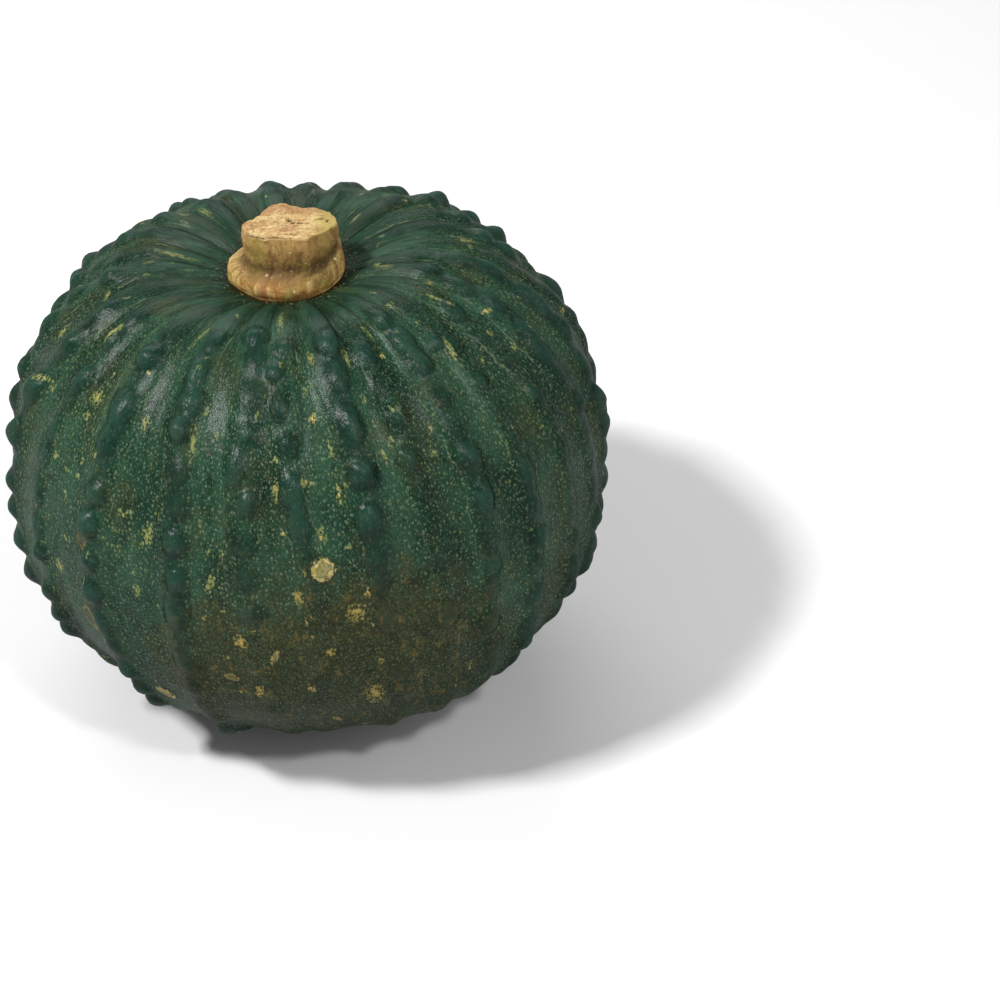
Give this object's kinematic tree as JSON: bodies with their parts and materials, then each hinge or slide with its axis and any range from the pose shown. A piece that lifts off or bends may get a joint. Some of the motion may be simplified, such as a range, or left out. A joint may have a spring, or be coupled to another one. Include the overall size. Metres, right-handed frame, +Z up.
{
  "type": "kabocha squash",
  "caption": "Whole kabocha squash, squat and round with warty ridges, dark green mottled skin and a cut corky stem.",
  "frame": {"origin": "on the resting surface, below the middle of the squash", "axes": "+Z up from the resting surface towards the stem, -Y the front, +X to the right seen from the front"},
  "size_m": [0.1925, 0.1893, 0.1636],
  "materials": {
    "skin": "satin",
    "cork": "matte"
  },
  "bodies": {
    "root": {"fruit": "skin", "stem": "cork"}
  },
  "joints": []
}
